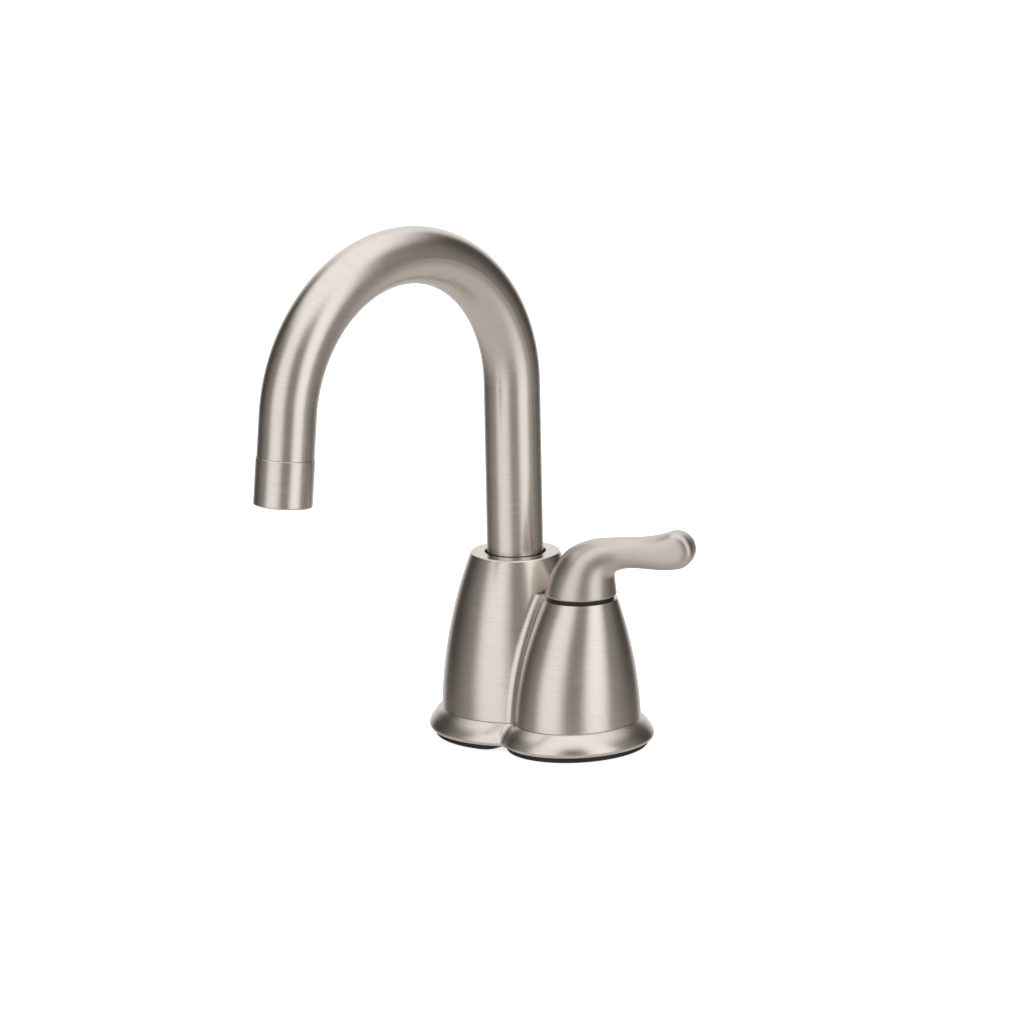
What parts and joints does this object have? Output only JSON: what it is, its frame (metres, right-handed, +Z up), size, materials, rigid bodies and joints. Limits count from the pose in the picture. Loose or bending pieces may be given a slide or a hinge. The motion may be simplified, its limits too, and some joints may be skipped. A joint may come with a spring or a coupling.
{
  "type": "instant hot water faucet",
  "caption": "Deck-mounted gooseneck faucet with a twin-bell base, a swivelling arched spout and a self-closing side lever that works a cold-side valve.",
  "frame": {"origin": "on the spout's swivel axis, at the top face of the deck, which is the underside of the base gasket", "axes": "+Z up along the swivel axis; the spout reaches towards -Y at rest; the lever tower stands on the +X side"},
  "size_m": [0.113, 0.1674, 0.2622],
  "materials": {
    "brushed_nickel": "warm grey brushed nickel, satin, fine lines round the turned forms",
    "black_rubber": "matt black rubber",
    "raw_brass": "machined brass, unplated",
    "bright_steel": "bright stainless steel",
    "dark_plastic": "dark grey bearing plastic",
    "pale_plastic": "pale grey moulded plastic"
  },
  "bodies": {
    "base": {"faucet_body": "brushed_nickel", "base_gasket": "black_rubber", "waterway": "raw_brass", "fixing_screws": "bright_steel", "spout_bushing": "dark_plastic", "spout_clip": "bright_steel", "valve_seat": "raw_brass", "chamber_plug": "raw_brass", "stem_o_ring": "black_rubber", "return_spring": "bright_steel", "valve_bonnet": "raw_brass", "handle_glide_ring": "dark_plastic", "mounting_shank": "raw_brass", "clamp_rubber": "black_rubber", "clamp_washer": "bright_steel", "mounting_nut": "raw_brass", "cold_inlet_nipple": "raw_brass", "tank_feed_nipple": "raw_brass", "hot_return_nipple": "raw_brass"},
    "spout": {"spout_tube": "brushed_nickel", "spout_hub": "raw_brass", "spout_o_rings": "black_rubber", "outlet_fitting": "raw_brass", "outlet_collar": "brushed_nickel", "outlet_insert": "pale_plastic", "outlet_screen": "bright_steel", "outlet_washer": "black_rubber"},
    "lever": {"lever_handle": "brushed_nickel", "handle_set_screw": "bright_steel", "valve_spindle": "raw_brass", "spindle_o_ring": "black_rubber"},
    "stem": {"valve_stem": "bright_steel", "poppet_seal": "black_rubber", "cam_pin": "bright_steel"}
  },
  "joints": [
    {"name": "spout_swivel", "type": "hinge", "parent": "base", "child": "spout", "pos_m": [0, 0, 0.0501], "axis": [0, 0, 1], "continuous": true},
    {"name": "lever_turn", "type": "hinge", "parent": "base", "child": "lever", "pos_m": [0.0364, 0, 0.0612], "axis": [0, 0, 1], "range_deg": [-78, 0], "stiffness_Nm_per_rad": 0.05, "springref_deg": 20.05},
    {"name": "valve_lift", "type": "slide", "parent": "base", "child": "stem", "axis": [0, 0, 1], "range_m": [-0.0025, 0], "deforming": ["return_spring"]}
  ],
  "couplings": [
    {"joint": "valve_lift", "follows": "lever_turn", "m_per_rad": 0.0018364}
  ]
}
